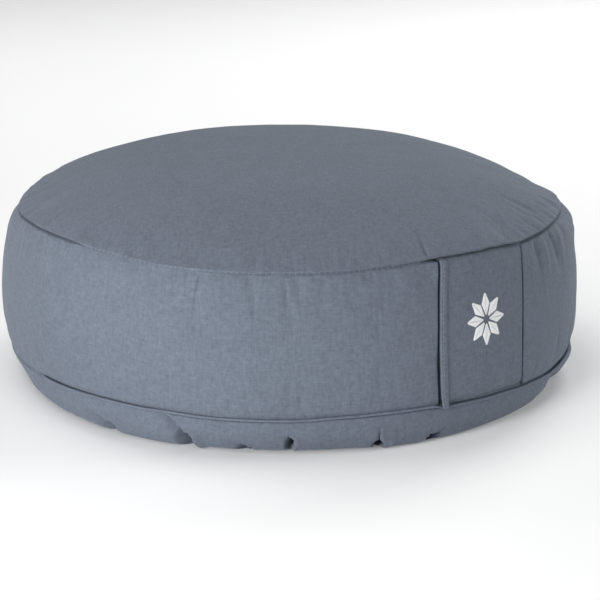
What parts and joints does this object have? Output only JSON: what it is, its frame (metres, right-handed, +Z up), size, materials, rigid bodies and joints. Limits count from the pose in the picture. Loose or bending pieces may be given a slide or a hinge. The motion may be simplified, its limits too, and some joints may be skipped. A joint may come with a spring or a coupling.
{
  "type": "round meditation cushion",
  "caption": "Round filled floor cushion with a crowned top, a bulged side band with a lapped placket panel, and a bottom panel that turns up to a rolled lower seam.",
  "frame": {"origin": "middle of the flat underside, on the floor", "axes": "+Z up out of the seat, -Y out of the front, with the placket panel at the front right towards +X"},
  "size_m": [0.4109, 0.4111, 0.1575],
  "materials": {
    "cotton_twill": "matte blue-grey cotton twill",
    "seam_roll": "matte blue-grey cotton twill, rolled",
    "placket_cloth": "matte blue-grey cotton twill, topstitched"
  },
  "bodies": {
    "root": {"filled_cushion": "cotton_twill", "lower_seam_welt": "seam_roll", "placket_panel": "placket_cloth"}
  },
  "joints": []
}
